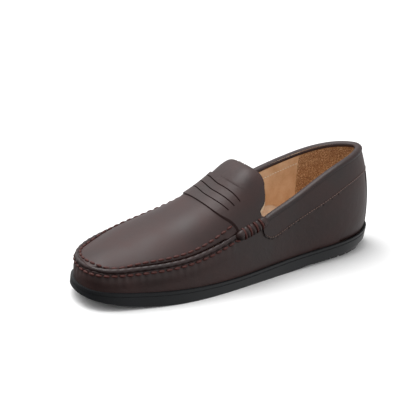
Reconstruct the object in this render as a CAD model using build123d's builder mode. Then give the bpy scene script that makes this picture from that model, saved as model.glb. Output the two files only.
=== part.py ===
"""A left moccasin loafer: raised apron seam, saddle strap with beef rolls, rubber sole.

Frame: +Z up, toe towards -Y, +X on the outer (lateral) side, origin on the ground under the middle.
All sizes are in millimetres. Depths into the shoe wall are counted from the outer face of the wrap leather.
"""

from build123d import *
from functools import cache
import os

# ---------------------------------------------------------------- driving sizes
shoe_length = 291.4  # heel to toe over the sole
shoe_breadth = 97.6  # across the ball over the sole
collar_height = 94.0  # ground to the top of the heel collar

leather = 1.6  # wrap, apron
band_leather = 1.25  # collar band, back strip
strap_leather = 1.5
stiffener = 1.2  # toe puff and heel counter
lining = 1.0
tongue_leather = 1.5
tongue_lining_leather = 0.8
binding_leather = 0.8

ridge_rise = 0.9  # how far the apron seam stands proud
ridge_width = 4.6  # seen from above
roll_rise = 1.9  # beef roll above the strap
thread = 0.9  # hand-sewing thread
stitch_pitch = 7.6
stitch_length = 4.6
roll_wraps = 4
stitch_inset = 4.6  # upper row, in from the ridge
row_margin = 0.05  # share of the seam left free at each end of the upper row, ahead of the strap
stitch_drop = 5.6  # lower row, below the ridge
thread_arc = 96.0  # degrees of each wrap that show
thread_tilt = 0.5
fine_thread = 0.5
fine_pitch = 3.4
fine_length = 2.4
fine_inset = 2.2
slit_width = 0.9
binding_depth = 4.0
back_strip_width = 16.0
stiffener_drop = 5.0

rubber_wall = 2.2  # sole's side wall around the upper
cup_depth = 5.0  # sole's lip above the floor of its cup
lip_groove = 0.5
lip_height = 2.4
heel_lift_inset = 3.0
tread_depth = 1.2
tread_width = 2.4
tread_pitch = 9.0

lasting_margin = 13.0
insole_thickness = 2.0
foam_thickness = 2.5
sock_thickness = 1.0
shank_width = 14.0

stitch_clearance = 0.3
seam_gap = 0.1  # between pieces that lie against each other
hinge_gap = 0.3  # between the strap and the tongue that lifts behind it

# ---------------------------------------------------------------- last shape
# The tables are drawn for the reference last and scaled to the driving sizes.
REFERENCE_LENGTH = 291.4
REFERENCE_BREADTH = 97.6
REFERENCE_HEIGHT = 94.0
along = shoe_length / REFERENCE_LENGTH
across = shoe_breadth / REFERENCE_BREADTH
upward = collar_height / REFERENCE_HEIGHT

LOW_LEAN, HIGH_LEAN = 25.0, 75.0  # heights above the feather edge where the lean is given
# Round the feather edge, toe to heel and back: x, y, lean at LOW_LEAN, lean at HIGH_LEAN (outward positive).
PERIMETER = [
    (-1, -142.0, -4.0, -16),  # toe tip
    (26, -132.5, -4.0, -16),
    (38, -105, -3.5, -15),
    (46.5, -62, -2.5, -12),  # outer ball
    (43, -2, 0.0, -6),
    (35, 53, 0.5, -6),
    (32, 98, 1.5, -7),
    (20, 132, 1.5, -7),
    (0, 143.5, 1.5, -6),  # back of the heel
    (-20, 132, 1.5, -7),
    (-32, 98, 1.5, -7),
    (-28, 48, -0.5, -4),
    (-32.5, 3, 0.0, -2),
    (-46.5, -72, -3.0, -13),  # inner ball
    (-38, -112, -3.5, -15),
    (-24, -133.5, -4.0, -16),
]
# Arches over the foot, toe to tongue: y, height of the crown, fullness of the curve on the inner and on the
# outer side. Their ends lie on the wrap's upper edge.
ARCHES = [
    (-156, 31.0, 2.2, 2.2),
    (-143, 36.2, 2.2, 2.2),
    (-130, 40.5, 2.2, 2.2),
    (-102, 48.0, 2.3, 2.3),
    (-62, 60.0, 2.5, 2.5),
    (-32, 71.0, 2.8, 3.0),
    (-10, 83.0, 4.0, 3.5),
    (2, 92.0, 4.8, 3.7),
    (14, 98.0, 5.4, 4.0),
    (36, 101.5, 5.8, 4.1),
]
FRONT_ARCH_SPAN = -130  # y of the front-most arch whose ends reach the wall
TOE_FALL = 0.12  # how fast the ends of the arches ahead of it drop
EDGE_END = 20  # y where the upper edge leaves the arches for the topline
ARCH_SHARES = [-1.08, -1, -0.92, -0.82, -0.62, -0.34, 0, 0.34, 0.62, 0.84, 1, 1.12]

# Side-view lines as (y, z).
SOLE_TOP = [(-150, 19), (-112, 15), (-62, 12), (-2, 11), (58, 14), (98, 16), (150, 19)]
SOLE_BOTTOM = [
    (-150, 12.5), (-132, 8), (-112, 4), (-84, 1), (-58, -0.3),
    (0, -0.6), (44, -0.2), (78, 3.2), (112, 6), (152, 9),
]
# Upper edge of the wrap: the apron seam in front, the topline of the collar behind.
UPPER_EDGE_OUTER = [
    (-150, 35.5), (-142, 35.5), (-132, 34.5), (-102, 34), (-62, 36), (-32, 42), (-10, 49),
    (14, 55), (23, 58.5), (48, 67), (78, 80), (108, 90), (133, 93.5), (152, 94),
]
UPPER_EDGE_INNER = [
    (-150, 35.5), (-142, 35.5), (-132, 36.5), (-102, 39), (-62, 46), (-32, 54), (-10, 60),
    (4, 64), (23, 70.5), (48, 79), (78, 85), (108, 90), (133, 93.5), (152, 94),
]
BAND_EDGE_OUTER = [(17.5, 50), (19, 42), (25, 37.5), (38, 40), (57, 47.5), (85, 58), (115, 69), (152, 70)]
BAND_EDGE_INNER = [(7.5, 59), (9, 51), (15, 47), (30, 50), (57, 59), (85, 66), (115, 70.5), (152, 70)]

# Plan-view lines as (x, y).
STRAP_FRONT = [
    (-62, -21), (-36, -21.5), (-28, -26.5), (0, -29.5), (22, -27), (34, -20.5), (41.5, -10), (62, -8.5),
]
STRAP_REAR = [
    (-62, 7), (-34, 6), (-27, -0.5), (0, -4.2), (21, -2.6), (29.5, 2), (35, 9), (40, 16.5), (62, 18),
]
TONGUE_EDGE = [(-36, 4), (-30, 10), (-20, 14), (0, 17), (18, 19), (27, 23.5), (32.5, 23), (36, 16), (42, 14)]
ROLL_BACK = [(-62, 5), (-30, 5), (0, 12), (38, 18.5), (62, 18.5)]
LINING_JOIN = 90.0  # y where the quarter lining meets the heel grip
BACK_STRIP_TOP = 69.5
COUNTER_TOP = 55.0
STIFFENER_FRONT = 86.0  # y where the heel counter starts
PUFF_BACK = -104.0  # y where the toe puff ends
HEEL_BREAST = 54.0  # y where the heel lift starts
SHANK_FRONT = -20.0
SHANK_BACK = 78.0
WAY_ABOVE = 140.0
WAY_OUT = 90.0


def scaled(points, first, second):
    """Table points scaled to the driving sizes."""
    return [(a * first, b * second) for a, b in points]


@cache
def side_curve(line):
    """Smooth curve through a side-view line, drawn with y across and z up."""
    return Edge.make_spline([Vector(y, z) for y, z in scaled(line, along, upward)])


def height_at(line, y):
    """Height of a side-view line at y, found by halving along its curve."""
    curve = side_curve(tuple(line))
    low, high = 0.0, 1.0
    for _ in range(18):
        middle = (low + high) / 2
        if (curve @ middle).X < y:
            low = middle
        else:
            high = middle
    return (curve @ low).Y


def lean(height, low, high):
    """Plan shift of the wall at a height above the feather edge."""
    bend = (high * LOW_LEAN - low * HIGH_LEAN) / (HIGH_LEAN**2 * LOW_LEAN - LOW_LEAN**2 * HIGH_LEAN)
    slope = (low - bend * LOW_LEAN**2) / LOW_LEAN
    return slope * height + bend * height**2


def wall_point(index, depth, z):
    """Point of the wall at one perimeter station, at a depth inside its outer face."""
    x, y, low, high = PERIMETER[index]
    before, after = PERIMETER[index - 1], PERIMETER[(index + 1) % len(PERIMETER)]
    run = Vector((after[0] - before[0]) * across, (after[1] - before[1]) * along).normalized()
    outward = Vector(-run.Y, run.X) * -1
    shift = lean((z - height_at(SOLE_TOP, y * along)) / upward, low, high) - depth
    return Vector(x * across, y * along) + outward * shift


@cache
def wall_body(depth, bottom=-6.0, top=112.0, levels=7):
    """Solid inside the shoe wall at a depth, between two heights."""
    with BuildPart(mode=Mode.PRIVATE) as body:
        for level in range(levels):
            z = (bottom + (top - bottom) * level / (levels - 1)) * upward
            with BuildSketch(Plane.XY.offset(z)):
                with BuildLine():
                    Spline(*[wall_point(i, depth, z) for i in range(len(PERIMETER))], periodic=True)
                make_face()
        loft()
    return body.part


def wall_x(y, z, outer):
    """Where the wall's outer face is at a y and a height, on the outer or inner side."""
    curve = level_curve(0, z)
    low, high = (0.03, 0.36) if outer else (0.97, 0.64)
    for _ in range(18):
        middle = (low + high) / 2
        if (curve @ middle).Y < y:
            low = middle
        else:
            high = middle
    return (curve @ low).X


def arch_curve(arch, drop):
    """Points of one arch, moved in by drop."""
    y, crown, inner_fullness, outer_fullness = arch
    foot_y = max(y, FRONT_ARCH_SPAN) * along
    fall = max(FRONT_ARCH_SPAN - y, 0) * TOE_FALL * upward
    outer_z = height_at(UPPER_EDGE_OUTER, min(foot_y, EDGE_END * along)) - fall
    inner_z = height_at(UPPER_EDGE_INNER, min(foot_y, EDGE_END * along)) - fall
    outer_x = wall_x(foot_y, outer_z, True)
    inner_x = wall_x(foot_y, inner_z, False)
    centre, half = (inner_x + outer_x) / 2, (outer_x - inner_x) / 2

    def point(share):
        side_z = inner_z if share < 0 else outer_z
        fullness = inner_fullness if share < 0 else outer_fullness
        rise = (crown * upward - side_z) * (1 - abs(share) ** fullness)
        return Vector(centre + half * share, side_z + rise)

    curve = []
    for share in ARCH_SHARES:
        run = (point(share + 0.01) - point(share - 0.01)).normalized()
        curve.append(point(share) + Vector(run.Y, -run.X) * drop)
    return curve


@cache
def crown_body(drop, base=-6.0):
    """Solid under the top surface of the shoe, moved in by drop."""
    with BuildPart(mode=Mode.PRIVATE) as body:
        for arch in ARCHES:
            curve = arch_curve(arch, drop)
            with BuildSketch(Plane.XZ.offset(-arch[0] * along)):
                with BuildLine():
                    Spline(*curve)
                    Polyline(curve[-1], (curve[-1].X, base), (curve[0].X, base), curve[0])
                make_face()
        loft()
    return body.part


@cache
def hull(depth):
    """Closed shape of the front of the shoe at a depth."""
    with BuildPart(mode=Mode.PRIVATE) as body:
        add(wall_body(depth))
        add(crown_body(depth), mode=Mode.INTERSECT)
    return body.part


def side_prism(outer, inner, rise=0.0, below=True):
    """Everything below (or above) two side-view lines, one for each side of the shoe."""
    far = -20 if below else WAY_ABOVE
    with BuildPart(mode=Mode.PRIVATE) as body:
        for line, width in ((outer, WAY_OUT), (inner, -WAY_OUT)):
            points = [(y, z + rise) for y, z in scaled(line, along, upward)]
            with BuildSketch(Plane.YZ):
                with BuildLine():
                    Spline(*points)
                    Polyline(points[-1], (points[-1][0], far), (points[0][0], far), points[0])
                make_face()
            extrude(amount=width)
    return body.part


def plan_prism(line, ahead=True, shift=0.0):
    """Everything ahead of (or behind) a plan-view line."""
    far = -170.0 * along if ahead else 170.0 * along
    points = [(x, y + shift) for x, y in scaled(line, across, along)]
    with BuildPart(mode=Mode.PRIVATE) as body:
        with BuildSketch(Plane.XY.offset(-20)):
            with BuildLine():
                Spline(*points)
                Polyline(points[-1], (points[-1][0], far), (points[0][0], far), points[0])
            make_face()
        extrude(amount=WAY_ABOVE + 20)
    return body.part


def slab(y_low, y_high, z_low=-20.0, z_high=WAY_ABOVE, x_low=-WAY_OUT, x_high=WAY_OUT):
    """Box between two cross-planes."""
    with BuildPart(mode=Mode.PRIVATE) as body:
        with Locations(((x_low + x_high) / 2, (y_low + y_high) / 2, (z_low + z_high) / 2)):
            Box(x_high - x_low, y_high - y_low, z_high - z_low)
    return body.part


def floor_layer(depth, low, high):
    """Sheet inside the wall, between two heights above the floor of the sole's cup."""
    with BuildPart(mode=Mode.PRIVATE) as body:
        add(wall_body(depth, top=54.0, levels=4))
        add(side_prism(SOLE_TOP, SOLE_TOP, high - cup_depth), mode=Mode.INTERSECT)
        add(side_prism(SOLE_TOP, SOLE_TOP, low - cup_depth), mode=Mode.SUBTRACT)
    return body.part


def wall_layer(outside, inside, floor=0.0):
    """Shell of the wall between two depths, from a height above the floor of the cup."""
    with BuildPart(mode=Mode.PRIVATE) as body:
        add(wall_body(outside))
        add(wall_body(inside), mode=Mode.SUBTRACT)
        add(side_prism(SOLE_TOP, SOLE_TOP, floor - cup_depth), mode=Mode.SUBTRACT)
    return body.part


def level_curve(depth, z):
    """Closed curve round the wall at one height."""
    return Edge.make_spline([wall_point(i, depth, z) for i in range(len(PERIMETER))], periodic=True)


def edge_spot(share, depth, rise=0.0):
    """Point on the wall where the wrap's upper edge passes, at a share of the way round from the toe."""
    z = 50.0 * upward
    for _ in range(4):
        spot = level_curve(depth, z) @ (share % 1.0)
        z = height_at(UPPER_EDGE_OUTER if spot.X > 0 else UPPER_EDGE_INNER, spot.Y) + rise
    return Vector(spot.X, spot.Y, z)


def seam_curve(start, stop, depth, spots):
    """Smooth curve along the apron seam between two shares of the way round."""
    step = (stop - start) / (spots - 1)
    return Edge.make_spline([edge_spot(start + step * k, depth) for k in range(spots)])


def tube(curve, radius):
    """Round cord along a curve."""
    with BuildPart(mode=Mode.PRIVATE) as body:
        with BuildSketch(Plane(origin=curve @ 0, z_dir=curve % 0)):
            Circle(radius)
        sweep(path=curve)
    return body.part


@cache
def arch_layer(outside, inside):
    """Sheet over the top of the foot between two depths."""
    with BuildPart(mode=Mode.PRIVATE) as body:
        for arch in ARCHES:
            outer_curve = arch_curve(arch, outside)
            inner_curve = arch_curve(arch, inside)
            with BuildSketch(Plane.XZ.offset(-arch[0] * along)):
                with BuildLine():
                    Spline(*outer_curve)
                    Spline(*inner_curve)
                    Line(outer_curve[0], inner_curve[0])
                    Line(outer_curve[-1], inner_curve[-1])
                make_face()
        loft()
    return body.part


def sew(surface, spots, length, radius):
    """Stitches lying just clear of a surface; each spot is a start point, a way in and a run."""
    places = []
    for start, inward, run in spots:
        hit, normal = surface.find_intersection_points(Axis(start, inward))[0]
        outward = normal if normal.dot(inward) < 0 else normal * -1
        centre = hit + outward * (radius + stitch_clearance)
        places.append(Location(Plane(origin=centre, x_dir=run, z_dir=outward)))
    with BuildPart(mode=Mode.PRIVATE) as body:
        with Locations(*places):
            Cylinder(radius, length, rotation=(0, 90, 0))
    return body.part


def wall_stitches(depth, outer, inner, rise, start, stop, pitch, length, radius):
    """Row of stitches on the wall, rise above a pair of side-view lines."""
    level = level_curve(depth, 60.0 * upward)
    count = int(level.length * (stop - start) / pitch)
    spots = []
    for k in range(count):
        share = (start + (stop - start) * (k + 0.5) / count) % 1.0
        spot, run = level @ share, level % share
        line = outer if spot.X > 0 else inner
        away = Vector(run.Y, -run.X) * 12
        ahead = height_at(line, spot.Y + run.Y) - height_at(line, spot.Y)
        start_point = Vector(spot.X, spot.Y, height_at(line, spot.Y) + rise) + away
        spots.append((start_point, away * -1, Vector(run.X, run.Y, ahead)))
    return sew(wall_body(depth), spots, length, radius)


def finish(name, body):
    """Label one finished piece and write its file."""
    body.part.label = name
    export_step(body.part, f"parts/{name}.step")


os.makedirs("parts", exist_ok=True)

# Depths of the layers, counted inward from the outer face of the wrap.
band_face = -(seam_gap + band_leather)
stiffener_face = leather + seam_gap
lining_face = stiffener_face + stiffener + seam_gap
foot_face = lining_face + lining
board_floor = leather + 2 * seam_gap
foam_floor = board_floor + insole_thickness + seam_gap
sock_floor = foam_floor + foam_thickness + seam_gap
sole_face = -(seam_gap + rubber_wall)

# Shares of the way round the wall where the beef rolls lie.
OUTER_ROLL = (0.2365, 0.275)
INNER_ROLL = (0.749, 0.791)
roll_depth = 1.4
roll_radius = roll_rise + roll_depth + 1.0
ridge_radius = ridge_width / 2
ridge_depth = ridge_radius - ridge_rise

apron_curve = seam_curve(INNER_ROLL[1] - 1 + 0.004, OUTER_ROLL[0] - 0.004, ridge_depth, 13)
outer_roll_curve = seam_curve(OUTER_ROLL[0], OUTER_ROLL[1], roll_depth, 4)
inner_roll_curve = seam_curve(INNER_ROLL[0], INNER_ROLL[1], roll_depth, 4)
seam_cut = tube(apron_curve, ridge_radius + seam_gap)
outer_roll_cut = tube(outer_roll_curve, roll_radius + seam_gap)
inner_roll_cut = tube(inner_roll_curve, roll_radius + seam_gap)
outer_hull = hull(-seam_gap)
filler = floor_layer(lasting_margin + seam_gap, seam_gap, leather + seam_gap)
above_roll = side_prism(UPPER_EDGE_OUTER, UPPER_EDGE_INNER, roll_radius + 1, below=False)
behind_rolls = plan_prism(ROLL_BACK, ahead=False)
below_edge = side_prism(UPPER_EDGE_OUTER, UPPER_EDGE_INNER)
above_edge = side_prism(UPPER_EDGE_OUTER, UPPER_EDGE_INNER, seam_gap, below=False)
ahead_of_rear = plan_prism(STRAP_REAR)
behind_rear = plan_prism(STRAP_REAR, ahead=False, shift=hinge_gap)


# ---------------------------------------------------------------- rubber bottom
# Unit sole: a shallow cup for the upper with a thin lip line round its side.
with BuildPart() as groove:
    add(wall_body(sole_face - 2))
    add(wall_body(sole_face + lip_groove), mode=Mode.SUBTRACT)
    add(side_prism(SOLE_TOP, SOLE_TOP, -lip_height), mode=Mode.INTERSECT)
    add(side_prism(SOLE_TOP, SOLE_TOP, -lip_height - 0.8), mode=Mode.SUBTRACT)

with BuildPart() as outsole:
    add(wall_body(sole_face, bottom=-2))
    add(side_prism(SOLE_TOP, SOLE_TOP), mode=Mode.INTERSECT)
    add(side_prism(SOLE_BOTTOM, SOLE_BOTTOM, below=False), mode=Mode.INTERSECT)
    add(slab(-170, 170, 0, 40), mode=Mode.INTERSECT)
    add(floor_layer(-seam_gap, 0, 40), mode=Mode.SUBTRACT)
    add(groove.part, mode=Mode.SUBTRACT)
    with Locations((0, -46 * along, 0)):
        with GridLocations(0, tread_pitch, 1, 9):
            Box(70 * across, tread_width, 2 * tread_depth, mode=Mode.SUBTRACT)
finish("outsole", outsole)

# Heel lift: a wedge under the back half, set in from the edge of the sole.
with BuildPart() as heel_lift:
    add(wall_body(sole_face + heel_lift_inset, bottom=-2))
    add(side_prism(SOLE_BOTTOM, SOLE_BOTTOM, -seam_gap), mode=Mode.INTERSECT)
    add(slab(HEEL_BREAST * along, 170, 0, 40), mode=Mode.INTERSECT)
    with Locations((0, 112 * along, 0)):
        with GridLocations(0, tread_pitch, 1, 5):
            Box(70 * across, tread_width, 2 * tread_depth, mode=Mode.SUBTRACT)
finish("heel_lift", heel_lift)


# ---------------------------------------------------------------- leather upper
# Wrap: one piece round the foot, turned in under the insole, closed by a seam at the heel.
with BuildPart() as wrap:
    add(wall_layer(0, leather, seam_gap))
    add(below_edge, mode=Mode.INTERSECT)
    add(floor_layer(leather / 2, seam_gap, seam_gap + leather))
    add(wall_body(lasting_margin, top=40.0, levels=3), mode=Mode.SUBTRACT)
    add(slab(100, 170, x_low=-seam_gap, x_high=seam_gap), mode=Mode.SUBTRACT)
    add(seam_cut, mode=Mode.SUBTRACT)
finish("wrap", wrap)

# Apron: the plug over the toes and instep, butted to the wrap under the raised seam.
with BuildPart() as apron:
    add(arch_layer(0, leather))
    add(wall_body(0), mode=Mode.INTERSECT)
    add(above_edge, mode=Mode.INTERSECT)
    add(ahead_of_rear, mode=Mode.INTERSECT)
    add(seam_cut, mode=Mode.SUBTRACT)
finish("apron", apron)

# Apron seam: the rolled ridge of leather that joins the apron to the gathered wrap.
with BuildPart() as apron_ridge:
    add(tube(apron_curve, ridge_radius))
finish("apron_ridge", apron_ridge)

# Saddle strap over the instep with three slits, its ends drawn into the beef rolls.
with BuildPart() as strap:
    add(arch_layer(-seam_gap - strap_leather, -seam_gap))
    add(plan_prism(STRAP_FRONT, ahead=False), mode=Mode.INTERSECT)
    add(ahead_of_rear, mode=Mode.INTERSECT)
    add(above_edge, mode=Mode.INTERSECT)
    add(seam_cut, mode=Mode.SUBTRACT)
    add(outer_roll_cut, mode=Mode.SUBTRACT)
    add(inner_roll_cut, mode=Mode.SUBTRACT)
    for share in (0.28, 0.53, 0.78):
        line = [
            (front[0], front[1] + (rear[1] - front[1]) * share)
            for front, rear in zip(STRAP_FRONT[2:6], STRAP_REAR[2:6])
        ]
        points = scaled(line, across, along)
        with BuildSketch(Plane.XY.offset(40)):
            with BuildLine():
                Spline(*points)
                Spline(*[(x, y + slit_width) for x, y in points])
                Line(points[0], (points[0][0], points[0][1] + slit_width))
                Line(points[-1], (points[-1][0], points[-1][1] + slit_width))
            make_face()
        extrude(amount=80, mode=Mode.SUBTRACT)
finish("strap", strap)

# Beef rolls: the padded leather rolls sewn over the strap ends.
with BuildPart() as beef_roll_outer:
    add(tube(outer_roll_curve, roll_radius))
    add(outer_hull, mode=Mode.SUBTRACT)
finish("beef_roll_outer", beef_roll_outer)

with BuildPart() as beef_roll_inner:
    add(tube(inner_roll_curve, roll_radius))
    add(outer_hull, mode=Mode.SUBTRACT)
finish("beef_roll_inner", beef_roll_inner)

# Collar band: the strip round the top of the quarters with a smile-shaped lower corner.
with BuildPart() as collar_band:
    add(wall_layer(band_face, -seam_gap))
    add(side_prism(BAND_EDGE_OUTER, BAND_EDGE_INNER, below=False), mode=Mode.INTERSECT)
    add(below_edge, mode=Mode.INTERSECT)
    add(outer_roll_cut, mode=Mode.SUBTRACT)
    add(inner_roll_cut, mode=Mode.SUBTRACT)
finish("collar_band", collar_band)

# Back strip: covers the heel seam from the collar band down to the sole.
with BuildPart() as back_strip:
    add(wall_layer(band_face, -seam_gap, cup_depth + 0.2))
    half = back_strip_width / 2
    add(slab(100, 170, z_high=BACK_STRIP_TOP * upward, x_low=-half, x_high=half), mode=Mode.INTERSECT)
finish("back_strip", back_strip)

# Topline binding: a folded strip over the edge of the collar, from roll to roll.
with BuildPart() as collar_edge:
    add(wall_layer(band_face - seam_gap, foot_face + seam_gap))
    add(side_prism(UPPER_EDGE_OUTER, UPPER_EDGE_INNER, seam_gap), mode=Mode.INTERSECT)

with BuildPart() as topline_binding:
    add(wall_layer(band_face - seam_gap - binding_leather, foot_face + seam_gap + binding_leather))
    add(side_prism(UPPER_EDGE_OUTER, UPPER_EDGE_INNER, seam_gap + binding_leather), mode=Mode.INTERSECT)
    add(side_prism(UPPER_EDGE_OUTER, UPPER_EDGE_INNER, -binding_depth, below=False), mode=Mode.INTERSECT)
    add(collar_edge.part, mode=Mode.SUBTRACT)
    add(behind_rolls, mode=Mode.INTERSECT)
    add(outer_roll_cut, mode=Mode.SUBTRACT)
    add(inner_roll_cut, mode=Mode.SUBTRACT)
finish("topline_binding", topline_binding)


# ---------------------------------------------------------------- tongue
# Tongue: the free tab behind the strap, lined, lifting about its root.
with BuildPart() as tongue:
    add(arch_layer(0, tongue_leather))
    add(behind_rear, mode=Mode.INTERSECT)
    add(plan_prism(TONGUE_EDGE), mode=Mode.INTERSECT)
    add(above_roll, mode=Mode.INTERSECT)
finish("tongue", tongue)

with BuildPart() as tongue_lining:
    add(arch_layer(tongue_leather + seam_gap, tongue_leather + seam_gap + tongue_lining_leather))
    add(behind_rear, mode=Mode.INTERSECT)
    add(plan_prism(TONGUE_EDGE, shift=-seam_gap), mode=Mode.INTERSECT)
    add(above_roll, mode=Mode.INTERSECT)
finish("tongue_lining", tongue_lining)


# ---------------------------------------------------------------- linings and stiffeners
# Toe puff and heel counter keep the two ends of the wrap in shape.
with BuildPart() as toe_puff:
    add(wall_layer(stiffener_face, stiffener_face + stiffener, leather + 2 * seam_gap))
    add(side_prism(UPPER_EDGE_OUTER, UPPER_EDGE_INNER, -stiffener_drop), mode=Mode.INTERSECT)
    add(slab(-170, PUFF_BACK * along), mode=Mode.INTERSECT)
finish("toe_puff", toe_puff)

with BuildPart() as heel_counter:
    add(wall_layer(stiffener_face, stiffener_face + stiffener, leather + 2 * seam_gap))
    add(slab(STIFFENER_FRONT * along, 170, z_high=COUNTER_TOP * upward), mode=Mode.INTERSECT)
finish("heel_counter", heel_counter)

# Collar foam: the padding between the collar band and the lining.
with BuildPart() as collar_foam:
    add(wall_layer(stiffener_face, stiffener_face + stiffener))
    add(side_prism(BAND_EDGE_OUTER, BAND_EDGE_INNER, below=False), mode=Mode.INTERSECT)
    add(side_prism(UPPER_EDGE_OUTER, UPPER_EDGE_INNER, -1), mode=Mode.INTERSECT)
    add(behind_rolls, mode=Mode.INTERSECT)
finish("collar_foam", collar_foam)

# Vamp lining inside the wrap, and apron lining under the apron.
with BuildPart() as vamp_lining:
    add(wall_layer(lining_face, foot_face, leather + 2 * seam_gap))
    add(below_edge, mode=Mode.INTERSECT)
    add(slab(-170, -seam_gap / 2), mode=Mode.INTERSECT)
    add(seam_cut, mode=Mode.SUBTRACT)
finish("vamp_lining", vamp_lining)

with BuildPart() as apron_lining:
    add(arch_layer(lining_face, foot_face))
    add(wall_body(foot_face + seam_gap), mode=Mode.INTERSECT)
    add(above_edge, mode=Mode.INTERSECT)
    add(ahead_of_rear, mode=Mode.INTERSECT)
finish("apron_lining", apron_lining)

# Quarter linings, one on each side of the foot opening, and the grip round the heel.
for name, low, high in (
    ("quarter_lining_outer", seam_gap, WAY_OUT),
    ("quarter_lining_inner", -WAY_OUT, -seam_gap),
):
    with BuildPart() as quarter_lining:
        add(wall_layer(lining_face, foot_face, leather + 2 * seam_gap))
        add(below_edge, mode=Mode.INTERSECT)
        add(slab(seam_gap / 2, LINING_JOIN * along, x_low=low, x_high=high), mode=Mode.INTERSECT)
    finish(name, quarter_lining)

with BuildPart() as heel_grip:
    add(wall_layer(lining_face, foot_face, leather + 2 * seam_gap))
    add(below_edge, mode=Mode.INTERSECT)
    add(slab(LINING_JOIN * along + seam_gap, 170), mode=Mode.INTERSECT)
finish("heel_grip", heel_grip)


# ---------------------------------------------------------------- inside the bottom
# Fillers level the floor inside the lasting margin; the shank stiffens the waist between them.
with BuildPart() as forefoot_filler:
    add(filler)
    add(slab(-170, SHANK_FRONT * along - seam_gap), mode=Mode.INTERSECT)
finish("forefoot_filler", forefoot_filler)

with BuildPart() as shank:
    add(filler)
    add(
        slab(SHANK_FRONT * along, SHANK_BACK * along, x_low=-shank_width / 2, x_high=shank_width / 2),
        mode=Mode.INTERSECT,
    )
finish("shank", shank)

with BuildPart() as heel_filler:
    add(filler)
    add(slab(SHANK_BACK * along + seam_gap, 170), mode=Mode.INTERSECT)
finish("heel_filler", heel_filler)

# Insole board, foam and sock, stacked on the turned-in margins.
with BuildPart() as insole_board:
    add(floor_layer(foot_face + seam_gap, board_floor, board_floor + insole_thickness))
finish("insole_board", insole_board)

with BuildPart() as insole_foam:
    add(floor_layer(foot_face + seam_gap, foam_floor, foam_floor + foam_thickness))
finish("insole_foam", insole_foam)

with BuildPart() as sock_lining:
    add(floor_layer(foot_face + seam_gap, sock_floor, sock_floor + sock_thickness))
finish("sock_lining", sock_lining)


# ---------------------------------------------------------------- stitching
# Hand stitches below the ridge, through the gathers of the wrap.
with BuildPart() as wrap_stitching:
    add(
        wall_stitches(0, UPPER_EDGE_OUTER, UPPER_EDGE_INNER, -stitch_drop, INNER_ROLL[1] - 1, OUTER_ROLL[0],
                      stitch_pitch, stitch_length, thread / 2)
    )
finish("wrap_stitching", wrap_stitching)

# Hand stitches on the apron, inside the ridge.
with BuildPart() as apron_stitching:
    spots = []
    count = int(apron_curve.length * (1 - 2 * row_margin) / stitch_pitch)
    for k in range(count):
        share = row_margin + (1 - 2 * row_margin) * (k + 0.5) / count
        spot, run = apron_curve @ share, apron_curve % share
        inward = Vector(-run.Y, run.X).normalized()
        spots.append((Vector(spot.X, spot.Y, 150) + inward * stitch_inset, Vector(0, 0, -1), run))
    add(sew(crown_body(0), spots, stitch_length, thread / 2))
finish("apron_stitching", apron_stitching)

# Thick thread wound over the beef rolls.
for name, curve in (("roll_thread_outer", outer_roll_curve), ("roll_thread_inner", inner_roll_curve)):
    with BuildPart() as roll_thread:
        for k in range(roll_wraps):
            share = 0.12 + 0.76 * k / (roll_wraps - 1)
            run = curve % share
            away = Vector(run.Y, -run.X).normalized() + Vector(0, 0, thread_tilt)
            with Locations(Location(Plane(origin=curve @ share, x_dir=away, z_dir=run))):
                Torus(
                    roll_radius + stitch_clearance + thread / 2,
                    thread / 2,
                    major_angle=thread_arc,
                    rotation=(0, 0, -thread_arc / 2),
                    align=None,
                )
    finish(name, roll_thread)

# Fine stitch line above the lower edge of the collar band.
with BuildPart() as collar_stitching:
    add(
        wall_stitches(band_face, BAND_EDGE_OUTER, BAND_EDGE_INNER, fine_inset, 0.280, 0.742,
                      fine_pitch, fine_length, fine_thread / 2)
    )
finish("collar_stitching", collar_stitching)
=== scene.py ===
import math

import bmesh
import bpy
import numpy as np
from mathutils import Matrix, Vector
from mathutils.bvhtree import BVHTree


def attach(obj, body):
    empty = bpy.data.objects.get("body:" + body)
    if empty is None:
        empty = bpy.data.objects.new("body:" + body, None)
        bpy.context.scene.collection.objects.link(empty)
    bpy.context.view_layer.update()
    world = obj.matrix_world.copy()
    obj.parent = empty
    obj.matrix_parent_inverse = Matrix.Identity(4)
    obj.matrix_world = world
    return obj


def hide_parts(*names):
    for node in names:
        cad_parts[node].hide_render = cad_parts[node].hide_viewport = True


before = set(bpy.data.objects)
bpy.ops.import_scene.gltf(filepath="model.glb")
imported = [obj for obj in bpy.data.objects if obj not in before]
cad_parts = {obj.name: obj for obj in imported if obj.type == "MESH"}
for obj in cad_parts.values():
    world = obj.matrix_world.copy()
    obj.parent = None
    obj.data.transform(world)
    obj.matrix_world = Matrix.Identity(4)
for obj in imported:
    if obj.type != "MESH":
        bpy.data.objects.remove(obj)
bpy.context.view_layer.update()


# ---------------------------------------------------------------- wrap
# The wrap is one piece of dyed calf leather lasted round the foot. Its upper edge
# is gathered into the apron seam, which leaves a pucker under every hand stitch.

MM = 0.001
REACH = 0.15  # rays start this far out and stop at the middle of the shoe


def surface_of(node):
    """Search tree over a CAD node, for finding points on its faces."""
    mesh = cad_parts[node].data
    corners = [v.co.copy() for v in mesh.vertices]
    return BVHTree.FromPolygons(corners, [p.vertices[:] for p in mesh.polygons])


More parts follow.
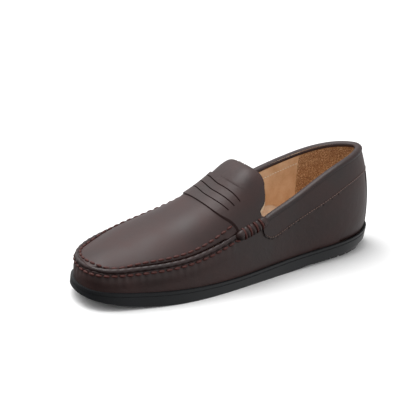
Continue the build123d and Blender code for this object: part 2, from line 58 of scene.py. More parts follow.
def round_the_shoe(share, height, inside=False):
    """Level ray at a height, at a share of the way round from the outer toe corner."""
    end, side = 100 * MM, 200 * MM
    arc = math.pi * 45 * MM
    run = (share % 1.0) * 2 * (side + arc)
    if run < side:
        centre, out = Vector((0, -end + run, height)), Vector((1, 0, 0))
    elif run < side + arc:
        turn = math.pi * (run - side) / arc
        centre, out = Vector((0, end, height)), Vector((math.cos(turn), math.sin(turn), 0))
    elif run < 2 * side + arc:
        centre, out = Vector((0, end - (run - side - arc), height)), Vector((-1, 0, 0))
    else:
        turn = math.pi * (1 + (run - 2 * side - arc) / arc)
        centre, out = Vector((0, -end, height)), Vector((math.cos(turn), math.sin(turn), 0))
    return (centre, out) if inside else (centre + out * REACH, -out)


def skin(name, node, ray, columns, rows, low, high, wide=(0.0, 1.0), closed=False, scan=160):
    """Even sheet over one face of a CAD node, its columns running from first to last hit."""
    tree = surface_of(node)
    grid = []
    for c in range(columns):
        share = wide[0] + (wide[1] - wide[0]) * c / (columns if closed else columns - 1)

        def hit(t):
            for nudge in (0.0, 0.0004, -0.0004):
                start, way = ray(share + nudge, low + (high - low) * t)
                spot = tree.ray_cast(start, way, REACH)[0]
                if spot:
                    return spot
            return None

        found = [k for k in range(scan + 1) if hit(k / scan)]
        if len(found) < 2:
            continue
        ends = []
        for inner, step in ((found[0], -1), (found[-1], 1)):
            good, bad = inner / scan, (inner + step) / scan
            for _ in range(7):
                middle = (good + bad) / 2
                good, bad = (middle, bad) if hit(middle) else (good, middle)
            ends.append(good)
        column = [hit(ends[0] + (ends[1] - ends[0]) * r / (rows - 1)) for r in range(rows)]
        if sum(1 for p in column if p) > rows * 0.8 and column[0] and column[-1]:
            for r in range(1, rows):
                column[r] = column[r] or column[r - 1]
            grid.append(column)
    mesh = bpy.data.meshes.new(name)
    points = [p for column in grid for p in column]
    faces = []
    for c in range(len(grid) if closed else len(grid) - 1):
        d = (c + 1) % len(grid)
        for r in range(rows - 1):
            faces.append((c * rows + r, d * rows + r, d * rows + r + 1, c * rows + r + 1))
    mesh.from_pydata(points, [], faces)
    piece = bpy.data.objects.new(name, mesh)
    bpy.context.scene.collection.objects.link(piece)
    shape = bmesh.new()
    shape.from_mesh(mesh)
    inner_points = [v for v in shape.verts if not v.is_boundary]
    for _ in range(4):
        bmesh.ops.smooth_vert(
            shape, verts=inner_points, factor=0.5, use_axis_x=True, use_axis_y=True, use_axis_z=True
        )
    shape.to_mesh(mesh)
    shape.free()
    mesh.shade_smooth()
    return piece, grid


def face_out(piece, centre, outward=True):
    """Turns a sheet's faces away from (or towards) a point inside the shoe."""
    mesh = piece.data
    face = mesh.polygons[len(mesh.polygons) // 2]
    away = face.normal.dot(face.center - Vector(centre))
    if (away > 0) != outward:
        mesh.flip_normals()


def thicken(piece, thickness, edge=0.0):
    """Gives a sheet its leather thickness inward, with softly rounded edges."""
    solid = piece.modifiers.new("thickness", "SOLIDIFY")
    solid.thickness = thickness
    solid.offset = -1
    if edge:
        bevel = piece.modifiers.new("edge", "BEVEL")
        bevel.width = edge
        bevel.segments = 3
        bevel.limit_method = "ANGLE"
        bevel.angle_limit = math.radians(50)
        bevel.harden_normals = False


def paint(piece, material):
    """Puts one material on a piece."""
    piece.data.materials.clear()
    piece.data.materials.append(material)


def linear(code):
    """Linear colour of an sRGB hex code."""
    parts = [int(code[i : i + 2], 16) / 255 for i in (1, 3, 5)]
    return tuple(c / 12.92 if c <= 0.04045 else ((c + 0.055) / 1.055) ** 2.4 for c in parts) + (1.0,)


def add_node(tree, kind, settings=None, sockets=None, links=None):
    """Adds a node with its settings, fixed socket values and incoming links."""
    made = tree.nodes.new(kind)
    for key, value in (settings or {}).items():
        setattr(made, key, value)
    for key, value in (sockets or {}).items():
        made.inputs[key].default_value = value
    for key, source in (links or {}).items():
        tree.links.new(source, made.inputs[key])
    return made


def new_material(name):
    """Empty node material; returns it with its tree, shader and object coordinates."""
    material = bpy.data.materials.new(name)
    material.use_nodes = True
    tree = material.node_tree
    shader = tree.nodes["Principled BSDF"]
    place = tree.nodes.new("ShaderNodeTexCoord").outputs["Object"]
    return material, tree, shader, place


def blend_colours(tree, share, stops):
    """Colour ramp over a share between hex stops."""
    ramp = add_node(tree, "ShaderNodeValToRGB", links={"Fac": share})
    elements = ramp.color_ramp.elements
    while len(elements) < len(stops):
        elements.new(0.5)
    for element, (position, code) in zip(elements, stops):
        element.position = position
        element.color = linear(code)
    return ramp.outputs["Color"]


def calf_leather(name, dark, middle, light, roughness, crease):
    """Drum-dyed calf with a waxed finish: even brown, soft sheen, fine pores and shallow lasting creases."""
    material, tree, shader, place = new_material(name)
    cloud = add_node(
        tree, "ShaderNodeTexNoise", sockets={"Scale": 1 / 0.030, "Detail": 4.0}, links={"Vector": place}
    )
    colour = blend_colours(tree, cloud.outputs["Fac"], ((0.25, dark), (0.5, middle), (0.8, light)))
    tree.links.new(colour, shader.inputs["Base Color"])
    # Pores about 0.3 mm wide, drawn at 1 mm so that they show.
    pores = add_node(
        tree,
        "ShaderNodeTexVoronoi",
        {"feature": "SMOOTH_F1"},
        {"Scale": 1 / 0.0010, "Smoothness": 0.6},
        {"Vector": place},
    )
    folds = add_node(
        tree,
        "ShaderNodeTexNoise",
        sockets={"Scale": 1 / 0.0075, "Detail": 3.0, "Distortion": 0.8},
        links={"Vector": place},
    )
    pore_bump = add_node(
        tree,
        "ShaderNodeBump",
        sockets={"Strength": 0.22, "Distance": 0.00018},
        links={"Height": pores.outputs["Distance"]},
    )
    fold_bump = add_node(
        tree,
        "ShaderNodeBump",
        sockets={"Strength": crease, "Distance": 0.0008},
        links={"Height": folds.outputs["Fac"], "Normal": pore_bump.outputs["Normal"]},
    )
    tree.links.new(fold_bump.outputs["Normal"], shader.inputs["Normal"])
    shine = add_node(
        tree,
        "ShaderNodeMapRange",
        sockets={"From Min": 0.3, "From Max": 0.7, "To Min": roughness - 0.06, "To Max": roughness + 0.07},
        links={"Value": cloud.outputs["Fac"]},
    )
    tree.links.new(shine.outputs["Result"], shader.inputs["Roughness"])
    shader.inputs["IOR"].default_value = 1.5
    shader.inputs["Specular IOR Level"].default_value = 0.5
    shader.inputs["Coat Weight"].default_value = 0.03
    shader.inputs["Coat Roughness"].default_value = 0.32
    return material


waxed_calf = calf_leather("waxed_calf_leather", "#241614", "#321e1c", "#3f2724", 0.52, 0.34)
# The apron is the same calf as the wrap, drawn a little lighter: painted light on the top of the toe, which
# faces the overhead light.
apron_calf_painted_light = calf_leather("waxed_calf_leather_apron_painted_light", "#2a1715", "#36201e", "#422825", 0.56, 0.08)

STITCH_PITCH = 6.6 * MM
STITCH_LENGTH = 5.6 * MM
ROWS_PER_COLUMN = 34
wrap, wrap_grid = skin(
    "wrap_leather", "wrap", round_the_shoe, 620, ROWS_PER_COLUMN, 8 * MM, 98 * MM, closed=True
)
face_out(wrap, (0, 0, 0.04))


def seam_share_of(point):
    """How far round the toe a point is, in stitches, counted on a stadium about the apron."""
    if point.y > -100 * MM:
        run = point.y + 100 * MM
        return (run if point.x > 0 else -run - math.pi * 38 * MM) / STITCH_PITCH
    turn = math.atan2(-(point.y + 100 * MM), point.x)
    return -turn * 38 * MM / STITCH_PITCH


wrap.data.update()
moved = []
for index, vertex in enumerate(wrap.data.vertices):
    column = wrap_grid[index // ROWS_PER_COLUMN]
    top = max(column[0].z, column[-1].z)
    below = top - vertex.co.z
    front = min(max((-vertex.co.y - 2 * MM) / (22 * MM), 0.0), 1.0)
    fade = math.exp(-below / (4.2 * MM)) * front
    stitch = seam_share_of(vertex.co)
    uneven = 0.6 + 0.4 * math.sin(1.7 * stitch + 2 * math.sin(0.9 * stitch))
    pleat = math.cos(2 * math.pi * stitch) * uneven
    swell = math.exp(-(((below - 8 * MM) / (4.5 * MM)) ** 2)) * front
    moved.append(vertex.co + vertex.normal * (0.8 * MM * pleat * fade + 0.8 * MM * swell))
for vertex, place_now in zip(wrap.data.vertices, moved):
    vertex.co = place_now
wrap.data.update()
thicken(wrap, 1.2 * MM)
paint(wrap, waxed_calf)
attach(wrap, "shoe")
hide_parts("wrap")


# ---------------------------------------------------------------- apron
# The apron is the smooth plug of calf over the toes and instep. Its edge is butted
# to the wrap and hidden under the raised seam; it swells slightly towards the seam.


def over_the_foot(share, turn, y_low=-140.5 * MM, y_high=14 * MM):
    """Ray across the shoe towards a line inside the foot, turning from the outer side over the top."""
    y = y_low + (y_high - y_low) * share
    angle = math.radians(-25 + 230 * turn)
    way = Vector((math.cos(angle), 0, math.sin(angle)))
    centre = Vector((2 * MM, y, 30 * MM + max(0.0, y + 60 * MM) * 0.35))
    return centre + way * REACH, -way


apron, _ = skin("apron_leather", "apron", over_the_foot, 130, 72, 0.0, 1.0, scan=220)
face_out(apron, (0, -0.06, 0))
thicken(apron, 1.2 * MM)
paint(apron, apron_calf_painted_light)
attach(apron, "shoe")
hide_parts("apron")


# ---------------------------------------------------------------- raised apron seam
# The seam is the rolled edge of the apron with the wrap gathered into it. Each hand
# stitch pulls it in a little, so it runs round the toe as a row of small swellings.


def round_cord(name, path, outward, wide, tall, swell=0.0, pitch=1.0, sides=14, closed=False):
    """Padded cord along a path, as wide and tall as given, with a swelling at every pitch."""
    shape = bmesh.new()
    rings, run = [], 0.0
    count = len(path)
    for k, spot in enumerate(path):
        before = path[k - 1] if k or closed else path[k]
        after = path[(k + 1) % count] if k < count - 1 or closed else path[k]
        if k:
            run += (spot - path[k - 1]).length
        ahead = (after - before).normalized()
        out = (outward[k] - ahead * outward[k].dot(ahead)).normalized()
        up = out.cross(ahead).normalized()
        grow = 1 + swell * math.cos(2 * math.pi * run / pitch)
        if not closed:
            from_end = min(k, count - 1 - k) / 3
            grow *= math.sqrt(max(0.02, 1 - (1 - min(from_end, 1.0)) ** 2))
        ring = []
        for s in range(sides):
            turn = 2 * math.pi * s / sides
            bulge = (out * math.cos(turn) * wide + up * math.sin(turn) * tall) * grow
            ring.append(shape.verts.new(spot + bulge))
        rings.append(ring)
    for k in range(count if closed else count - 1):
        first, second = rings[k], rings[(k + 1) % count]
        for s in range(sides):
            t = (s + 1) % sides
            shape.faces.new((first[s], first[t], second[t], second[s]))
    if not closed:
        shape.faces.new(list(reversed(rings[0])))
        shape.faces.new(rings[-1])
    bmesh.ops.recalc_face_normals(shape, faces=shape.faces)
    mesh = bpy.data.meshes.new(name)
    shape.to_mesh(mesh)
    shape.free()
    mesh.shade_smooth()
    piece = bpy.data.objects.new(name, mesh)
    bpy.context.scene.collection.objects.link(piece)
    return piece


def middle_line(node, shares, low=0.0, high=120 * MM):
    """Middle of a CAD node's upright section at each share of the way round, with the way out."""
    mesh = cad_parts[node].data
    corners = np.array([v.co for v in mesh.vertices])
    edges = np.array([e.vertices[:] for e in mesh.edges])
    line, ways = [], []
    for share in shares:
        centre, out = round_the_shoe(share, 0.0, inside=True)
        side = np.array((-out.y, out.x, 0.0))
        height = (corners - np.array(centre)) @ side
        first, second = height[edges[:, 0]], height[edges[:, 1]]
        crossing = (first * second) < 0
        part = (first / (first - second + 1e-12))[crossing][:, None]
        cuts = corners[edges[crossing, 0]] * (1 - part) + corners[edges[crossing, 1]] * part
        cuts = cuts[((cuts - np.array(centre)) @ np.array(out)) > 0]
        cuts = cuts[(cuts[:, 2] > low) & (cuts[:, 2] < high)] if len(cuts) else cuts
        if len(cuts) < 4:
            continue
        line.append(Vector((cuts.min(axis=0) + cuts.max(axis=0)) / 2))
        ways.append(out)
    return line, ways


def evenly(line, ways, step):
    """The same line with its points one step apart."""
    spots, outs, left = [line[0]], [ways[0]], step
    for (a, b), (u, v) in zip(zip(line, line[1:]), zip(ways, ways[1:])):
        length, done = (b - a).length, 0.0
        while length - done >= left:
            done += left
            left = step
            spots.append(a.lerp(b, done / length))
            outs.append(u.lerp(v, done / length).normalized())
        left -= length - done
    return spots, outs


seam_shares = [(-k / 400 * 0.62 + 0.135) for k in range(401)]
seam_line, seam_ways = middle_line("apron_ridge", seam_shares)
seam_line, seam_ways = evenly(seam_line, seam_ways, 0.75 * MM)
apron_seam = round_cord("apron_seam", seam_line, seam_ways, 2.3 * MM, 2.25 * MM, 0.07, STITCH_PITCH)
seam_calf = calf_leather("waxed_calf_leather_seam", "#1f1211", "#2b1918", "#35201e", 0.50, 0.40)
paint(apron_seam, seam_calf)
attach(apron_seam, "shoe")
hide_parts("apron_ridge")


# ---------------------------------------------------------------- hand stitching of the seam
# Two rows of waxed linen thread join apron and wrap: one on the apron inside the
# ridge and one on the wrap below it. Each stitch is pulled tight, so it sits low.


def waxed_thread(name, dark, light):
    """Waxed linen thread: matt, twisted, a little darker in the twist."""
    material, tree, shader, place = new_material(name)
    twist = add_node(
        tree, "ShaderNodeTexNoise", sockets={"Scale": 1 / 0.0008, "Detail": 2.0}, links={"Vector": place}
    )
    colour = blend_colours(tree, twist.outputs["Fac"], ((0.3, dark), (0.7, light)))
    tree.links.new(colour, shader.inputs["Base Color"])
    bump = add_node(
        tree,
        "ShaderNodeBump",
        sockets={"Strength": 0.5, "Distance": 0.0002},
        links={"Height": twist.outputs["Fac"]},
    )
    tree.links.new(bump.outputs["Normal"], shader.inputs["Normal"])
    shader.inputs["Roughness"].default_value = 0.62
    return material


red_thread = waxed_thread("waxed_linen_thread_red_brown", "#34110c", "#56221a")


def stitch_tree(name):
    """Node tree that lays one stitch at every pitch along a curve."""
    tree = bpy.data.node_groups.new(name, "GeometryNodeTree")
    face = tree.interface
    face.new_socket("Geometry", in_out="INPUT", socket_type="NodeSocketGeometry")
    for label in ("Pitch", "Length", "Thickness"):
        face.new_socket(label, in_out="INPUT", socket_type="NodeSocketFloat")
    face.new_socket("Material", in_out="INPUT", socket_type="NodeSocketMaterial")
    face.new_socket("Geometry", in_out="OUTPUT", socket_type="NodeSocketGeometry")
    inlet = tree.nodes.new("NodeGroupInput").outputs
    spots = add_node(
        tree,
        "GeometryNodeCurveToPoints",
        {"mode": "LENGTH"},
        links={"Curve": inlet["Geometry"], "Length": inlet["Pitch"]},
    )
    ball = add_node(tree, "GeometryNodeMeshUVSphere", sockets={"Segments": 8, "Rings": 6, "Radius": 0.5})
    size = add_node(
        tree,
        "ShaderNodeCombineXYZ",
        links={"X": inlet["Thickness"], "Y": inlet["Thickness"], "Z": inlet["Length"]},
    )
    laid = add_node(
        tree,
        "GeometryNodeInstanceOnPoints",
        links={
            "Points": spots.outputs["Points"],
            "Instance": ball.outputs["Mesh"],
            "Rotation": spots.outputs["Rotation"],
            "Scale": size.outputs["Vector"],
        },
    )
    real = add_node(tree, "GeometryNodeRealizeInstances", links={"Geometry": laid.outputs["Instances"]})
    smooth = add_node(tree, "GeometryNodeSetShadeSmooth", links={"Geometry": real.outputs["Geometry"]})
    dyed = add_node(
        tree,
        "GeometryNodeSetMaterial",
        links={"Geometry": smooth.outputs["Geometry"], "Material": inlet["Material"]},
    )
    outlet = tree.nodes.new("NodeGroupOutput")
    tree.links.new(dyed.outputs["Geometry"], outlet.inputs["Geometry"])
    return tree


stitching = stitch_tree("row_of_stitches")


def sew(name, path, pitch, length, thickness, material, body="shoe"):
    """Row of stitches along a path, as a plain mesh riding on a body."""
    curve = bpy.data.curves.new(name + "_path", "CURVE")
    curve.dimensions = "3D"
    spline = curve.splines.new("POLY")
    spline.points.add(len(path) - 1)
    for point, spot in zip(spline.points, path):
        point.co = (*spot, 1.0)
    carrier = bpy.data.objects.new(name + "_path", curve)
    bpy.context.scene.collection.objects.link(carrier)
    rule = carrier.modifiers.new("stitches", "NODES")
    rule.node_group = stitching
    inputs = [item for item in stitching.interface.items_tree if item.in_out == "INPUT"]
    sockets = {item.name: item.identifier for item in inputs}
    rule[sockets["Pitch"]] = pitch
    rule[sockets["Length"]] = length
    rule[sockets["Thickness"]] = thickness
    rule[sockets["Material"]] = material
    bpy.context.view_layer.update()
    graph = bpy.context.evaluated_depsgraph_get()
    mesh = bpy.data.meshes.new_from_object(carrier.evaluated_get(graph), depsgraph=graph)
    mesh.name = name
    bpy.data.objects.remove(carrier)
    row = bpy.data.objects.new(name, mesh)
    bpy.context.scene.collection.objects.link(row)
    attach(row, body)
    return row


def on_surface(trees, start, way, lift):
    """Nearest hit of a ray on any of some surfaces, lifted off it."""
    best = None
    for tree in trees:
        spot, normal, _, distance = tree.ray_cast(start, way, 0.3)
        if spot and (best is None or distance < best[2]):
            best = (spot, normal if normal.dot(way) < 0 else -normal, distance)
    return best[0] + best[1] * lift if best else None


wrap_tree, apron_tree = surface_of("wrap"), surface_of("apron")
lower_row = [
    on_surface([wrap_tree], spot + way * 0.05 - Vector((0, 0, 3.6 * MM)), -way, 0.7 * MM)
    for spot, way in zip(seam_line, seam_ways)
]
upper_row = [
    on_surface([apron_tree], spot - way * 2.6 * MM + Vector((0, 0, 0.06)), Vector((0, 0, -1)), 0.3 * MM)
    for spot, way in zip(seam_line, seam_ways)
]
wrap_stitches = sew(
    "wrap_stitches", [p for p in lower_row if p], STITCH_PITCH, STITCH_LENGTH, 2.6 * MM, red_thread
)
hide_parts("wrap_stitching")
apron_stitches = sew(
    "apron_stitches", [p for p in upper_row if p], STITCH_PITCH, STITCH_LENGTH, 2.4 * MM, red_thread
)
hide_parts("apron_stitching")


# ---------------------------------------------------------------- saddle strap
# The strap crosses the instep with three slits cut through it. It is cut from the
# same calf and its edges are left raw, burnished dark.


def dress(node, name, material, body="shoe", bevel=0.0):
    """Copy of a CAD node with joined faces and smooth shading, standing for the node."""
    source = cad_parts[node]
    shape = bmesh.new()
    shape.from_mesh(source.data)
    bmesh.ops.remove_doubles(shape, verts=shape.verts, dist=0.01 * MM)
    bmesh.ops.recalc_face_normals(shape, faces=shape.faces)
    for edge in shape.edges:
        edge.smooth = len(edge.link_faces) == 2 and edge.calc_face_angle(0.0) < math.radians(32)
    for face in shape.faces:
        face.smooth = True
    mesh = bpy.data.meshes.new(name)
    shape.to_mesh(mesh)
    shape.free()
    piece = bpy.data.objects.new(name, mesh)
    bpy.context.scene.collection.objects.link(piece)
    if bevel:
        soften = piece.modifiers.new("edge", "BEVEL")
        soften.width = bevel
        soften.segments = 2
        soften.limit_method = "ANGLE"
        soften.angle_limit = math.radians(50)
    paint(piece, material)
    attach(piece, body)
    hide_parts(node)
    return piece


dress("strap", "saddle_strap", waxed_calf)


# ---------------------------------------------------------------- beef rolls
# Each strap end is drawn into a full roll over the seam and bound to it with
# turns of thick thread, so the leather bulges between the turns.

ROLL_TURNS = 4
ROLL_STEP = 0.6 * MM


def beef_roll(side, shares):
    """One roll with its thread, on the outer or inner side."""
    line, ways = middle_line("beef_roll_" + side, shares)
    line, ways = evenly(line, ways, ROLL_STEP)
    tilted = [(way + Vector((0, 0, 0.5))).normalized() for way in ways]
    line = [spot - way * 1.3 * MM for spot, way in zip(line, tilted)]
    length = ROLL_STEP * (len(line) - 1)
    gap = length / (ROLL_TURNS + 1)
    roll = round_cord("beef_roll_" + side + "_leather", line, tilted, 4.7 * MM, 5.2 * MM, -0.13, gap)
    paint(roll, waxed_calf)
    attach(roll, "shoe")
    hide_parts("beef_roll_" + side)
    turns = []
    for k in range(ROLL_TURNS):
        at = min(len(line) - 2, max(1, round((k + 1) * gap / ROLL_STEP)))
        ahead = (line[at + 1] - line[at - 1]).normalized()
        out = (tilted[at] - ahead * tilted[at].dot(ahead)).normalized()
        up = out.cross(ahead)
        arc = [
            line[at] + out * math.cos(turn) * 4.6 * MM + up * math.sin(turn) * 5.1 * MM
            for turn in [math.radians(-105 + 210 * s / 24) for s in range(25)]
        ]
        turns.append(round_cord("roll_turn", arc, [ahead] * 25, 1.1 * MM, 0.95 * MM, sides=8))
    shape = bmesh.new()
    for turn in turns:
        shape.from_mesh(turn.data)
        bpy.data.objects.remove(turn)
    mesh = bpy.data.meshes.new("roll_thread_" + side + "_turns")
    shape.to_mesh(mesh)
    shape.free()
    mesh.shade_smooth()
    thread = bpy.data.objects.new(mesh.name, mesh)
    bpy.context.scene.collection.objects.link(thread)
    paint(thread, red_thread)
    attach(thread, "shoe")
    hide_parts("roll_thread_" + side)


beef_roll("outer", [0.05 + 0.20 * k / 200 for k in range(201)])
beef_roll("inner", [0.75 - 0.25 * k / 200 for k in range(201)])


# ---------------------------------------------------------------- collar band and back strip
# The band is a second layer of calf round the top of the quarters, with a rounded
# lower corner in front; the back strip covers the heel seam below it.

band, band_grid = skin(
    "collar_band_leather", "collar_band", round_the_shoe, 520, 22, 30 * MM, 98 * MM, (0.12, 0.70)
)
face_out(band, (0, 0.05, 0.05))
thicken(band, 1.1 * MM, 0.35 * MM)
paint(band, waxed_calf)
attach(band, "shoe")
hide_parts("collar_band")

dress("back_strip", "back_strip_leather", seam_calf)

fine_thread = waxed_thread("fine_polyester_thread_brown", "#6b524a", "#8d7268")
band_line = [(min(column, key=lambda p: p.z)) for column in band_grid]
stitch_line = []
band_tree = surface_of("collar_band")
for spot in band_line[4:-4]:
    out = Vector((spot.x, max(spot.y - 100 * MM, 0.0), 0)).normalized()
    start = Vector((0, min(spot.y, 100 * MM), spot.z + 2.4 * MM)) + out * 0.2
    found = on_surface([band_tree], start, -out, 0.3 * MM)
    if found:
        stitch_line.append(found)
band_stitches = sew(
    "collar_band_stitches", stitch_line, 2.6 * MM, 2.1 * MM, 0.6 * MM, fine_thread
)
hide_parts("collar_stitching")


# ---------------------------------------------------------------- topline binding
# A strip of calf folded over the padded edge of the collar, from roll to roll.

binding_shares = [0.10 + 0.62 * k / 500 for k in range(501)]
binding_line, binding_ways = middle_line("topline_binding", binding_shares, 40 * MM)
binding_line, binding_ways = evenly(binding_line, binding_ways, 1.0 * MM)
binding = round_cord("topline_binding_leather", binding_line, binding_ways, 3.55 * MM, 2.6 * MM, sides=18)
paint(binding, seam_calf)
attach(binding, "shoe")
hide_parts("topline_binding")


# ---------------------------------------------------------------- tongue
# The free end of the tongue behind the strap, lined with the same leather as the
# quarters and top-stitched 2 mm inside its edge. It lifts about its root.


def over_the_tongue(turn, share):
    """Ray down the length of the tongue at one place across it."""
    return over_the_foot(share, turn, -6 * MM, 26 * MM)


tongue, tongue_grid = skin(
    "tongue_leather", "tongue", over_the_tongue, 110, 26, 0.0, 1.0, (0.12, 0.92), scan=200
)
face_out(tongue, (0, 0.01, 0.04))
thicken(tongue, 1.0 * MM, 0.35 * MM)
paint(tongue, waxed_calf)
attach(tongue, "tongue_flap")
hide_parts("tongue")

tongue_edge = []
for column in tongue_grid:
    back, front = (column[-1], column[0]) if column[-1].y > column[0].y else (column[0], column[-1])
    share = min(0.9, 2.4 * MM / max((back - front).length, 1 * MM))
    tongue_edge.append(back.lerp(front, share) + Vector((0, 0, 0.35 * MM)))
sew(
    "tongue_top_stitches",
    tongue_edge[3:-3],
    2.8 * MM,
    2.1 * MM,
    0.55 * MM,
    fine_thread,
    "tongue_flap",
)


# ---------------------------------------------------------------- linings
# The quarters, vamp and tongue are lined with undyed pigskin, tan and open-grained;
# the heel grip is the same leather turned flesh side out, darker and napped.


def tan_lining(name, dark, middle, light, roughness, nap):
    """Undyed vegetable-tanned lining: warm tan, matt, mottled, with a fine open grain."""
    material, tree, shader, place = new_material(name)
    cloud = add_node(
        tree, "ShaderNodeTexNoise", sockets={"Scale": 1 / 0.012, "Detail": 5.0}, links={"Vector": place}
    )
    speck = add_node(
        tree, "ShaderNodeTexNoise", sockets={"Scale": 1 / 0.0011, "Detail": 2.0}, links={"Vector": place}
    )
    share = add_node(
        tree,
        "ShaderNodeMix",
        {"data_type": "FLOAT"},
        {"Factor": nap},
        {"A": cloud.outputs["Fac"], "B": speck.outputs["Fac"]},
    )
    colour = blend_colours(tree, share.outputs["Result"], ((0.32, dark), (0.5, middle), (0.68, light)))
    tree.links.new(colour, shader.inputs["Base Color"])
    bump = add_node(
        tree,
        "ShaderNodeBump",
        sockets={"Strength": 0.3 + nap * 0.4, "Distance": 0.0002},
        links={"Height": speck.outputs["Fac"]},
    )
    tree.links.new(bump.outputs["Normal"], shader.inputs["Normal"])
    shader.inputs["Roughness"].default_value = roughness
    shader.inputs["Sheen Weight"].default_value = 0.25 * nap
    return material


# The lining colours are drawn paler than this tan leather is: painted light for the shaded inside of the
# shoe.
lining_with_painted_light = tan_lining("lining_tan_with_painted_light", "#d6ad84", "#e4bf98", "#efd0ae", 0.62, 0.2)
napped = tan_lining("napped_heel_grip_brown", "#83593a", "#b1865c", "#dfbd94", 0.85, 0.9)
sock_leather = tan_lining("sock_leather_pale", "#dcbb9a", "#e9ccad", "#f2dabd", 0.6, 0.15)

for node, name in (
    ("quarter_lining_outer", "quarter_lining_outer_leather"),
    ("quarter_lining_inner", "quarter_lining_inner_leather"),
    ("vamp_lining", "vamp_lining_leather"),
    ("apron_lining", "apron_lining_leather"),
):
    dress(node, name, lining_with_painted_light)
dress("tongue_lining", "tongue_lining_leather", lining_with_painted_light, "tongue_flap")
dress("heel_grip", "heel_grip_leather", napped)
sock = dress("sock_lining", "sock_leather", sock_leather)
# The sock rises under the inner arch of the foot.
for vertex in sock.data.vertices:
    inner = min(max((-vertex.co.x - 8 * MM) / (16 * MM), 0.0), 1.0)
    arch = math.exp(-(((vertex.co.y - 55 * MM) / (32 * MM)) ** 2))
    vertex.co.z += 24 * MM * inner * inner * (3 - 2 * inner) * arch
sock.data.update()

cream_thread = waxed_thread("polyester_thread_cream", "#efe2cc", "#fbf3e4")
for side, sign in (("outer", 1), ("inner", -1)):
    lining_tree = surface_of("quarter_lining_" + side)
    lining_row = []
    for spot, way in zip(binding_line[8:-8], binding_ways[8:-8]):
        if spot.x * sign > 0 and spot.y < 88 * MM:
            start = spot - way * 12 * MM - Vector((0, 0, 10 * MM))
            found = on_surface([lining_tree], start, way, 0.35 * MM)
            if found:
                lining_row.append(found)
    sew("lining_stitches_" + side, lining_row, 2.8 * MM, 2.2 * MM, 0.8 * MM, cream_thread)


# ---------------------------------------------------------------- rubber bottom
# The unit sole and heel lift are moulded black rubber: matt with a faint bloom, a
# very fine sparked texture on the side and a lip line round the top.


def moulded_rubber(name, dark, light):
    """Moulded styrene rubber: near black, slightly blue, satin with a fine texture."""
    material, tree, shader, place = new_material(name)
    cloud = add_node(
        tree, "ShaderNodeTexNoise", sockets={"Scale": 1 / 0.020, "Detail": 3.0}, links={"Vector": place}
    )
    colour = blend_colours(tree, cloud.outputs["Fac"], ((0.3, dark), (0.7, light)))
    tree.links.new(colour, shader.inputs["Base Color"])
    spark = add_node(
        tree, "ShaderNodeTexNoise", sockets={"Scale": 1 / 0.0009, "Detail": 2.0}, links={"Vector": place}
    )
    bump = add_node(
        tree,
        "ShaderNodeBump",
        sockets={"Strength": 0.25, "Distance": 0.0002},
        links={"Height": spark.outputs["Fac"]},
    )
    tree.links.new(bump.outputs["Normal"], shader.inputs["Normal"])
    shader.inputs["Roughness"].default_value = 0.5
    shader.inputs["IOR"].default_value = 1.52
    return material


sole_rubber = moulded_rubber("moulded_rubber_black", "#0b0d10", "#121519")
dress("outsole", "outsole_rubber", sole_rubber)
heel_rubber = moulded_rubber("moulded_rubber_heel", "#08090b", "#0f1113")
dress("heel_lift", "heel_lift_rubber", heel_rubber)


# ---------------------------------------------------------------- hidden layers
# Boards, cork, foam and the shank lie between the leathers and inside the bottom.


def plain_layer(name, dark, light, grain, roughness, metal=0.0):
    """Hidden layer with the colour variation and grain of its stuff."""
    material, tree, shader, place = new_material(name)
    speck = add_node(
        tree, "ShaderNodeTexNoise", sockets={"Scale": 1 / grain, "Detail": 3.0}, links={"Vector": place}
    )
    colour = blend_colours(tree, speck.outputs["Fac"], ((0.35, dark), (0.65, light)))
    tree.links.new(colour, shader.inputs["Base Color"])
    bump = add_node(
        tree,
        "ShaderNodeBump",
        sockets={"Strength": 0.3, "Distance": 0.0003},
        links={"Height": speck.outputs["Fac"]},
    )
    tree.links.new(bump.outputs["Normal"], shader.inputs["Normal"])
    shader.inputs["Roughness"].default_value = roughness
    shader.inputs["Metallic"].default_value = metal
    return material


fibre_board = plain_layer("fibre_board_grey_brown", "#8d7a62", "#a5927a", 0.0015, 0.85)
latex_foam = plain_layer("latex_foam_cream", "#cfc4a2", "#e0d7ba", 0.0012, 0.9)
ground_cork = plain_layer("ground_cork", "#8a6540", "#b08a60", 0.002, 0.9)
spring_steel = plain_layer("spring_steel_brushed", "#8a8a8c", "#a4a4a6", 0.001, 0.35, 1.0)
for node, material, slot in (
    ("toe_puff", fibre_board, "stiffener_board"),
    ("heel_counter", fibre_board, "stiffener_board"),
    ("insole_board", fibre_board, "stiffener_board"),
    ("collar_foam", latex_foam, "padding_foam"),
    ("insole_foam", latex_foam, "padding_foam"),
    ("forefoot_filler", ground_cork, "filler_cork"),
    ("heel_filler", ground_cork, "filler_cork"),
    ("shank", spring_steel, "shank_steel"),
):
    paint(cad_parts[node], material)


# ---------------------------------------------------------------- floor, light and camera
# A pale floor in a room that brightens from low in front of the toe to high behind the
# heel, with one large soft light overhead.

bpy.ops.mesh.primitive_plane_add(size=8)
floor = bpy.context.object
floor.name = "floor"
paper, tree, shader, place = new_material("white_paper_floor")
shader.inputs["Base Color"].default_value = linear("#f7f7f7")
shader.inputs["Roughness"].default_value = 0.9
paint(floor, paper)
floor.visible_diffuse = False
floor.visible_glossy = False

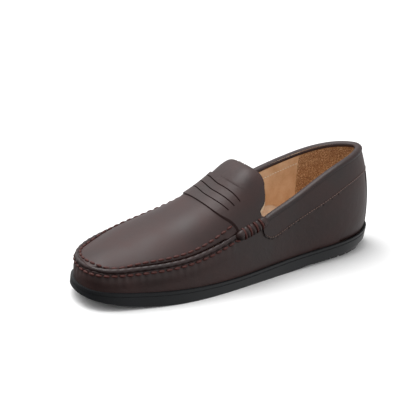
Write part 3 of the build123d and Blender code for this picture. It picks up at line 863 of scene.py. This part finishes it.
world = bpy.data.worlds.new("studio")
bpy.context.scene.world = world
world.use_nodes = True
room = world.node_tree
direction = add_node(room, "ShaderNodeTexCoord").outputs["Generated"]
tilt = add_node(room, "ShaderNodeVectorMath", {"operation": "DOT_PRODUCT"}, links={0: direction})
tilt.inputs[1].default_value = (-0.10, 0.62, 0.78)
climb = tilt.outputs["Value"]
share = add_node(
    room, "ShaderNodeMapRange", sockets={"From Min": -1.0, "From Max": 1.0}, links={"Value": climb}
)
ceiling = ((0.0, "#343434"), (0.3, "#808080"), (0.5, "#e0e0e0"), (0.66, "#ffffff"), (1.0, "#b4b4b4"))
room_colour = blend_colours(room, share.outputs["Result"], ceiling)
room.links.new(room_colour, room.nodes["Background"].inputs["Color"])
room.nodes["Background"].inputs["Strength"].default_value = 1.05


def soft_light(name, place, aim, size, power):
    """Square area light pointed at a place on the shoe."""
    lamp = bpy.data.lights.new(name, "AREA")
    lamp.size = size
    lamp.energy = power
    light = bpy.data.objects.new(name, lamp)
    bpy.context.scene.collection.objects.link(light)
    light.location = place
    light.rotation_euler = (Vector(place) - Vector(aim)).to_track_quat("Z", "Y").to_euler()


soft_light("overhead", (-0.25, -0.1, 1.3), (0, 0, 0.05), 0.9, 8)

# A broad soft sun lights the floor evenly.
sky = bpy.data.lights.new("soft_sun", "SUN")
sky.energy = 1.3
sky.angle = math.radians(50)
sun = bpy.data.objects.new("soft_sun", sky)
bpy.context.scene.collection.objects.link(sun)
sun.rotation_euler = Vector((-0.35, -0.25, 1.0)).to_track_quat("Z", "Y").to_euler()

AZIMUTH, ELEVATION, DISTANCE = math.radians(62), math.radians(23.2), 1.4
backward = Vector(
    (math.sin(AZIMUTH) * math.cos(ELEVATION), -math.cos(AZIMUTH) * math.cos(ELEVATION), math.sin(ELEVATION))
)
camera_data = bpy.data.cameras.new("camera")
camera_data.sensor_width = 36
camera_data.lens = 142.4
camera_data.shift_x = -0.054
camera_data.shift_y = 0.066
camera = bpy.data.objects.new("camera", camera_data)
bpy.context.scene.collection.objects.link(camera)
camera.location = backward * DISTANCE + Vector((-0.001, -0.002, 0.040))
camera.rotation_euler = backward.to_track_quat("Z", "Y").to_euler()
bpy.context.scene.camera = camera
bpy.context.scene.view_settings.view_transform = "Standard"

bpy.context.view_layer.update()
